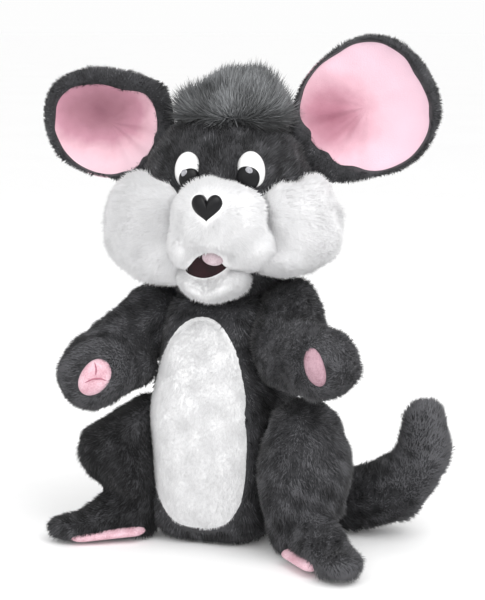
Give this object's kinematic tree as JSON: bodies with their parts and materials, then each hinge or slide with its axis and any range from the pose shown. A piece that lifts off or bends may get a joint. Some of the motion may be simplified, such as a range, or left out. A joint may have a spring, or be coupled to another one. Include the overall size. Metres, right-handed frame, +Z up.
{
  "type": "wind-up plush mouse",
  "caption": "Seated plush mouse with a winding key at the back, a clockwork in its torso that swings the head, and disc-jointed arms.",
  "frame": {"origin": "centre of the flat seat that the toy sits on", "axes": "-Y is the way the mouse faces, +X its own left, +Z up"},
  "size_m": [0.2136, 0.1364, 0.2577],
  "materials": {
    "plush_grey": "short-pile charcoal plush",
    "plush_white": "soft white plush",
    "plush_pink": "pink velour",
    "tuft_pile": "long-pile grey hair",
    "mouth_felt": "dark red felt",
    "stuffing": "loose polyester filling",
    "gloss_black": "glossy black",
    "eye_white": "glossy white",
    "housing_plastic": "moulded",
    "nylon": "moulded, slightly waxy",
    "grommet_black": "matt",
    "brass": "stamped",
    "steel": "turned",
    "nickel": "nickel plated, lightly worn"
  },
  "bodies": {
    "torso": {"torso_skin": "plush_grey", "torso_stuffing": "stuffing", "belly_panel": "plush_white", "leg_l": "plush_grey", "leg_r": "plush_grey", "sole_l": "plush_pink", "sole_r": "plush_pink", "tail": "plush_grey", "housing_front": "housing_plastic", "housing_rear": "housing_plastic", "housing_screws": "steel", "front_plate": "brass", "rear_plate": "brass", "plate_pillars": "brass", "neck_bearing": "nylon", "shoulder_disc_l": "nylon", "shoulder_disc_r": "nylon", "key_grommet": "grommet_black"},
    "key": {"winding_key": "nickel", "winding_arbor": "steel", "ratchet_wheel": "steel"},
    "click_lever": {"click": "steel"},
    "barrel": {"spring_barrel": "brass", "barrel_lid": "brass", "mainspring": "steel"},
    "second_wheel_set": {"second_arbor": "steel", "second_wheel": "brass", "crank_disc": "steel"},
    "third_wheel_set": {"third_arbor": "steel", "third_wheel": "brass"},
    "fly_set": {"fly_arbor": "steel", "fly_fan": "steel"},
    "head": {"neck_spindle": "steel", "head_fork": "nylon", "head_core": "nylon", "head_skin": "plush_grey", "head_stuffing": "stuffing", "muzzle": "plush_white", "chin": "plush_white", "cheek_l": "plush_white", "cheek_r": "plush_white", "mouth_lining": "mouth_felt", "nose": "gloss_black", "eye_l": "eye_white", "eye_r": "eye_white", "pupil_l": "gloss_black", "pupil_r": "gloss_black", "ear_l": "plush_grey", "ear_r": "plush_grey", "ear_lining_l": "plush_pink", "ear_lining_r": "plush_pink", "tuft": "tuft_pile"},
    "left_arm": {"arm_l": "plush_grey", "palm_l": "plush_pink", "arm_disc_l": "nylon"},
    "right_arm": {"arm_r": "plush_grey", "palm_r": "plush_pink", "arm_disc_r": "nylon"}
  },
  "joints": [
    {"name": "key_wind", "type": "hinge", "parent": "torso", "child": "key", "pos_m": [0, 0.04, 0.036], "axis": [0, 1, 0], "continuous": true},
    {"name": "click_swing", "type": "hinge", "parent": "torso", "child": "click_lever", "pos_m": [0.0115, 0.028, 0.042], "axis": [0, -1, 0], "range_deg": [0, 12], "stiffness_Nm_per_rad": 0.002, "springref_deg": -17.19},
    {"name": "barrel_turn", "type": "hinge", "parent": "torso", "child": "barrel", "pos_m": [0, 0.022, 0.036], "axis": [0, 1, 0], "continuous": true},
    {"name": "second_turn", "type": "hinge", "parent": "torso", "child": "second_wheel_set", "pos_m": [0, 0.018, 0.056], "axis": [0, 1, 0], "continuous": true},
    {"name": "third_turn", "type": "hinge", "parent": "torso", "child": "third_wheel_set", "pos_m": [0.01195, 0.018, 0.0629], "axis": [0, 1, 0], "continuous": true},
    {"name": "fly_turn", "type": "hinge", "parent": "torso", "child": "fly_set", "pos_m": [0.00429, 0.018, 0.06933], "axis": [0, 1, 0], "continuous": true},
    {"name": "head_turn", "type": "hinge", "parent": "torso", "child": "head", "pos_m": [0, 0, 0.126], "axis": [0, 0, 1], "range_deg": [-20, 20]},
    {"name": "arm_l_lift", "type": "hinge", "parent": "torso", "child": "left_arm", "pos_m": [0.0242, 0, 0.112], "axis": [-1, 0, 0], "range_deg": [0, 25]},
    {"name": "arm_r_lift", "type": "hinge", "parent": "torso", "child": "right_arm", "pos_m": [-0.0242, 0, 0.112], "axis": [-1, 0, 0], "range_deg": [0, 25]}
  ],
  "couplings": [
    {"joint": "second_turn", "follows": "barrel_turn", "ratio": -4},
    {"joint": "third_turn", "follows": "barrel_turn", "ratio": 14.4},
    {"joint": "fly_turn", "follows": "barrel_turn", "ratio": -43.2}
  ]
}
